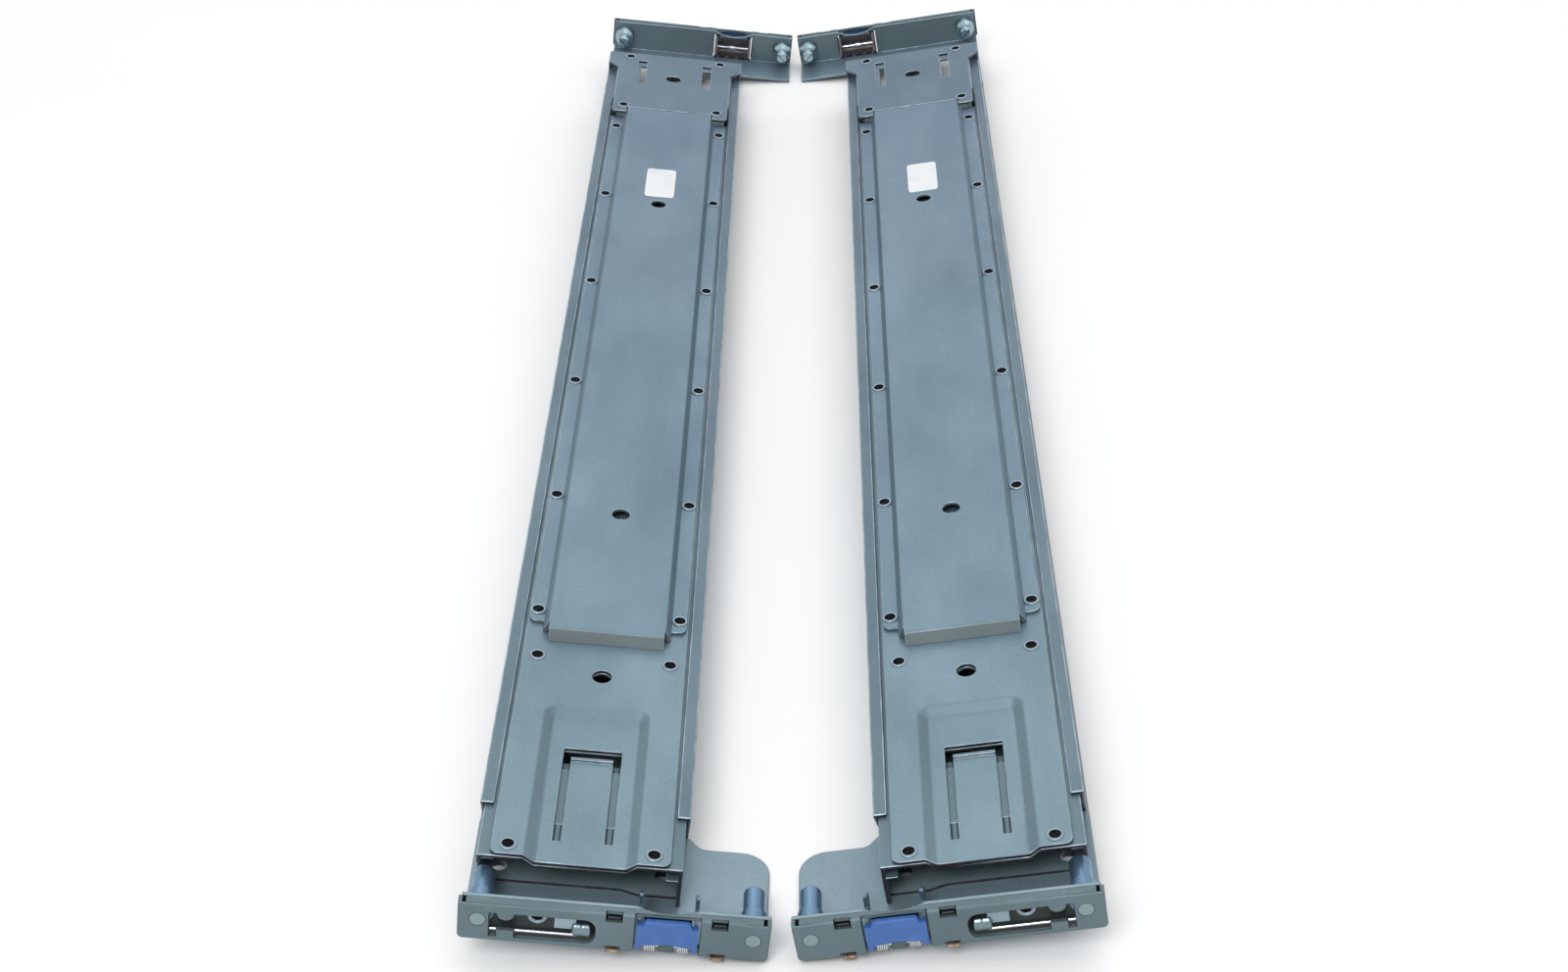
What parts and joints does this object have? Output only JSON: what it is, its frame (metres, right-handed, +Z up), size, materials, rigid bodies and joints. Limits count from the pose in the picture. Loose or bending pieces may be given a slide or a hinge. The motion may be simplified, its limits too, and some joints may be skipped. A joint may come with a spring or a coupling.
{
  "type": "server rack slide rail pair",
  "caption": "Pair of depth-adjustable sliding rails that carry a server in a rack, with pegged end flanges, blue release buttons and telescoping ball slides.",
  "frame": {"origin": "centre of the pair's footprint on the surface it lies on", "axes": "+X from the left rail to the right rail, +Y from the front flanges to the rear flanges, +Z up, away from the surface"},
  "size_m": [0.1806, 0.6083, 0.0331],
  "materials": {
    "zinc": "satin zinc plate",
    "slide": "satin",
    "bright": "bright plate",
    "blue": "semi-gloss",
    "spring": "bright drawn wire",
    "dark": "dull sheared steel"
  },
  "bodies": {
    "front_frames": {"left_front_bracket": "zinc", "left_front_cover": "zinc", "left_front_pegs": "bright", "left_front_plate": "zinc", "left_front_channel": "zinc", "left_base_sheet": "zinc", "left_hat_stiffener": "zinc", "left_front_rivets": "bright", "left_lock_rod": "bright", "left_front_hinge_pin": "bright", "left_front_springs": "spring", "left_slide_outer": "slide", "left_spacer_studs": "slide", "right_front_bracket": "zinc", "right_front_cover": "zinc", "right_front_pegs": "bright", "right_front_plate": "zinc", "right_front_channel": "zinc", "right_base_sheet": "zinc", "right_hat_stiffener": "zinc", "right_front_rivets": "bright", "right_lock_rod": "bright", "right_front_hinge_pin": "bright", "right_front_springs": "spring", "right_slide_outer": "slide", "right_spacer_studs": "slide"},
    "left_rear_frame": {"left_rear_sleeve": "zinc", "left_rear_bracket": "zinc", "left_rear_plate": "zinc", "left_rear_rivets": "bright", "left_rear_cover": "zinc", "left_rear_pegs": "bright", "left_rear_hinge_pin": "bright", "left_rear_springs": "spring"},
    "left_front_latch": {"left_front_button": "blue", "left_front_hook": "dark"},
    "left_rear_latch": {"left_rear_button": "blue", "left_rear_hook": "dark"},
    "left_middle_member": {"left_slide_middle": "slide"},
    "left_inner_member": {"left_slide_inner": "slide"},
    "left_outer_cage": {"left_outer_ball_cage": "slide"},
    "left_inner_cage": {"left_inner_ball_cage": "slide"},
    "right_rear_frame": {"right_rear_sleeve": "zinc", "right_rear_bracket": "zinc", "right_rear_plate": "zinc", "right_rear_rivets": "bright", "right_rear_cover": "zinc", "right_rear_pegs": "bright", "right_rear_hinge_pin": "bright", "right_rear_springs": "spring"},
    "right_front_latch": {"right_front_button": "blue", "right_front_hook": "dark"},
    "right_rear_latch": {"right_rear_button": "blue", "right_rear_hook": "dark"},
    "right_middle_member": {"right_slide_middle": "slide"},
    "right_inner_member": {"right_slide_inner": "slide"},
    "right_outer_cage": {"right_outer_ball_cage": "slide"},
    "right_inner_cage": {"right_inner_ball_cage": "slide"}
  },
  "joints": [
    {"name": "left_depth_slide", "type": "slide", "parent": "front_frames", "child": "left_rear_frame", "axis": [0.0026, 1, 0], "range_m": [0, 0.26]},
    {"name": "left_front_latch_hinge", "type": "hinge", "parent": "front_frames", "child": "left_front_latch", "pos_m": [-0.03241, -0.30123, 0.00661], "axis": [-0.9913, 0.0026, 0.1314], "range_deg": [0, 8], "stiffness_Nm_per_rad": 0.12, "springref_deg": -8.59},
    {"name": "left_rear_latch_hinge", "type": "hinge", "parent": "left_rear_frame", "child": "left_rear_latch", "pos_m": [-0.03084, 0.30117, 0.00661], "axis": [0.9913, -0.0026, -0.1314], "range_deg": [0, 8], "stiffness_Nm_per_rad": 0.12, "springref_deg": -8.59},
    {"name": "left_middle_slide", "type": "slide", "parent": "front_frames", "child": "left_middle_member", "axis": [-0.0026, -1, 0], "range_m": [0, 0.26]},
    {"name": "left_inner_slide", "type": "slide", "parent": "left_middle_member", "child": "left_inner_member", "axis": [-0.0026, -1, 0], "range_m": [0, 0.26]},
    {"name": "left_outer_cage_slide", "type": "slide", "parent": "front_frames", "child": "left_outer_cage", "axis": [-0.0026, -1, 0], "range_m": [0, 0.13]},
    {"name": "left_inner_cage_slide", "type": "slide", "parent": "left_middle_member", "child": "left_inner_cage", "axis": [-0.0026, -1, 0], "range_m": [0, 0.13]},
    {"name": "right_depth_slide", "type": "slide", "parent": "front_frames", "child": "right_rear_frame", "axis": [-0.0026, 1, 0], "range_m": [0, 0.26]},
    {"name": "right_front_latch_hinge", "type": "hinge", "parent": "front_frames", "child": "right_front_latch", "pos_m": [0.03241, -0.30123, 0.00661], "axis": [-0.9913, -0.0026, -0.1314], "range_deg": [0, 8], "stiffness_Nm_per_rad": 0.12, "springref_deg": -8.59},
    {"name": "right_rear_latch_hinge", "type": "hinge", "parent": "right_rear_frame", "child": "right_rear_latch", "pos_m": [0.03084, 0.30117, 0.00661], "axis": [0.9913, 0.0026, 0.1314], "range_deg": [0, 8], "stiffness_Nm_per_rad": 0.12, "springref_deg": -8.59},
    {"name": "right_middle_slide", "type": "slide", "parent": "front_frames", "child": "right_middle_member", "axis": [0.0026, -1, 0], "range_m": [0, 0.26]},
    {"name": "right_inner_slide", "type": "slide", "parent": "right_middle_member", "child": "right_inner_member", "axis": [0.0026, -1, 0], "range_m": [0, 0.26]},
    {"name": "right_outer_cage_slide", "type": "slide", "parent": "front_frames", "child": "right_outer_cage", "axis": [0.0026, -1, 0], "range_m": [0, 0.13]},
    {"name": "right_inner_cage_slide", "type": "slide", "parent": "right_middle_member", "child": "right_inner_cage", "axis": [0.0026, -1, 0], "range_m": [0, 0.13]}
  ],
  "couplings": [
    {"joint": "left_inner_slide", "follows": "left_middle_slide", "ratio": 1},
    {"joint": "left_outer_cage_slide", "follows": "left_middle_slide", "ratio": 0.5},
    {"joint": "left_inner_cage_slide", "follows": "left_middle_slide", "ratio": 0.5},
    {"joint": "right_inner_slide", "follows": "right_middle_slide", "ratio": 1},
    {"joint": "right_outer_cage_slide", "follows": "right_middle_slide", "ratio": 0.5},
    {"joint": "right_inner_cage_slide", "follows": "right_middle_slide", "ratio": 0.5}
  ]
}
